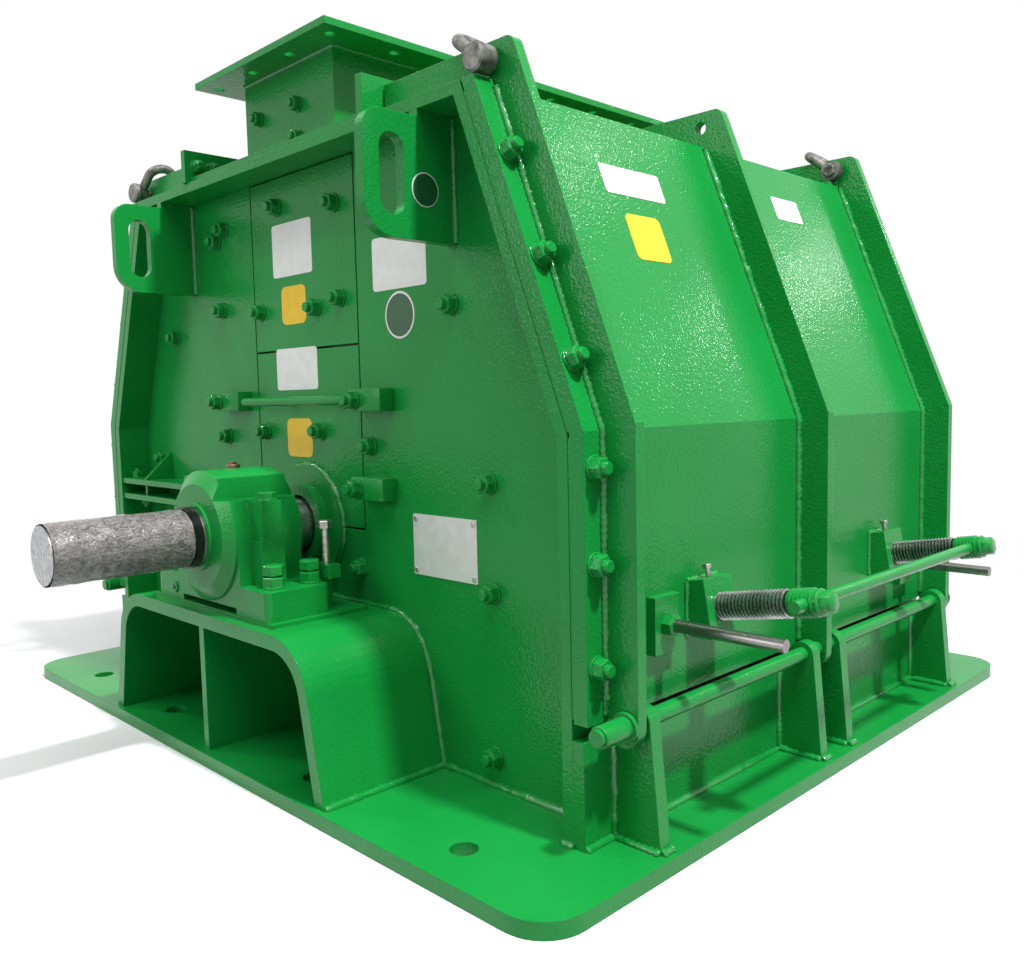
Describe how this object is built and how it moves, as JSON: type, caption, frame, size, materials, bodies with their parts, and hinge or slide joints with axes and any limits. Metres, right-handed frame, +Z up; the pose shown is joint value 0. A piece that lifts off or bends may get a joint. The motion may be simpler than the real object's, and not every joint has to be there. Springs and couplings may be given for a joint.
{
  "type": "reversible impact crusher",
  "caption": "Steel-housed crusher with a horizontal rotor on pedestal bearings, a top feed inlet, hinged ribbed side covers with adjusting screws and a drilled base plate.",
  "frame": {"origin": "centre of the underside of the base plate, midway between the anchor holes", "axes": "+X across the machine to the right-hand cover seen from the drive end, +Y along the rotor shaft away from the drive end, +Z up"},
  "size_m": [2.577, 2.2915, 1.671],
  "materials": {
    "enamel": "thick glossy green machine enamel over welded plate",
    "bare_steel": "bare turned steel",
    "cast_steel": "dark rough wear-resistant steel",
    "screw_steel": "dark oiled steel with a rolled thread",
    "zinc": "weathered galvanised forging",
    "rubber": "black rubber"
  },
  "bodies": {
    "housing": {"base_plate": "enamel", "front_pedestal": "enamel", "rear_pedestal": "enamel", "front_frame": "enamel", "rear_frame": "enamel", "front_wall": "enamel", "rear_wall": "enamel", "front_lower_panel": "enamel", "rear_lower_panel": "enamel", "front_upper_panel": "enamel", "rear_upper_panel": "enamel", "front_seal_plate": "enamel", "rear_seal_plate": "enamel", "front_lifting_lugs": "enamel", "rear_lifting_lugs": "enamel", "top_plate": "enamel", "inlet_box": "enamel", "inlet_flange": "enamel", "lower_walls": "enamel", "hinge_brackets": "enamel", "hinge_rods": "enamel", "bearing_bases": "enamel", "bearing_caps": "enamel"},
    "rotor": {"rotor_shaft": "bare_steel", "rotor_discs": "cast_steel", "hammer_bars": "cast_steel", "seal_ring": "rubber"},
    "left_cover_body": {"left_cover": "enamel", "left_cover_ribs": "enamel", "left_breaker_plates": "cast_steel", "left_screw_brackets": "enamel", "left_adjusting_screws": "screw_steel", "left_cross_handle": "enamel", "left_guide_rods": "bare_steel"},
    "right_cover_body": {"right_cover": "enamel", "right_cover_ribs": "enamel", "right_breaker_plates": "cast_steel", "right_screw_brackets": "enamel", "right_adjusting_screws": "screw_steel", "right_cross_handle": "enamel", "right_guide_rods": "bare_steel"},
    "left_front_shackle_body": {"left_front_shackle": "zinc"},
    "left_rear_shackle_body": {"left_rear_shackle": "zinc"},
    "right_front_shackle_body": {"right_front_shackle": "zinc"},
    "right_rear_shackle_body": {"right_rear_shackle": "zinc"}
  },
  "joints": [
    {"name": "rotor_spin", "type": "hinge", "parent": "housing", "child": "rotor", "pos_m": [0, 0, 0.539], "axis": [0, 1, 0], "continuous": true},
    {"name": "left_cover_hinge", "type": "hinge", "parent": "housing", "child": "left_cover_body", "pos_m": [-1.048, 0, 0.263], "axis": [0, -1, 0], "range_deg": [0, 75]},
    {"name": "right_cover_hinge", "type": "hinge", "parent": "housing", "child": "right_cover_body", "pos_m": [1.048, 0, 0.263], "axis": [0, 1, 0], "range_deg": [0, 75]},
    {"name": "left_front_shackle_swing", "type": "hinge", "parent": "left_cover_body", "child": "left_front_shackle_body", "pos_m": [-0.745, -0.686, 1.472], "axis": [0, -1, 0], "range_deg": [0, 155]},
    {"name": "left_rear_shackle_swing", "type": "hinge", "parent": "left_cover_body", "child": "left_rear_shackle_body", "pos_m": [-0.745, 0.686, 1.472], "axis": [0, -1, 0], "range_deg": [0, 155]},
    {"name": "right_front_shackle_swing", "type": "hinge", "parent": "right_cover_body", "child": "right_front_shackle_body", "pos_m": [0.745, -0.686, 1.472], "axis": [0, 1, 0], "range_deg": [0, 155]},
    {"name": "right_rear_shackle_swing", "type": "hinge", "parent": "right_cover_body", "child": "right_rear_shackle_body", "pos_m": [0.745, 0.686, 1.472], "axis": [0, 1, 0], "range_deg": [0, 155]}
  ]
}
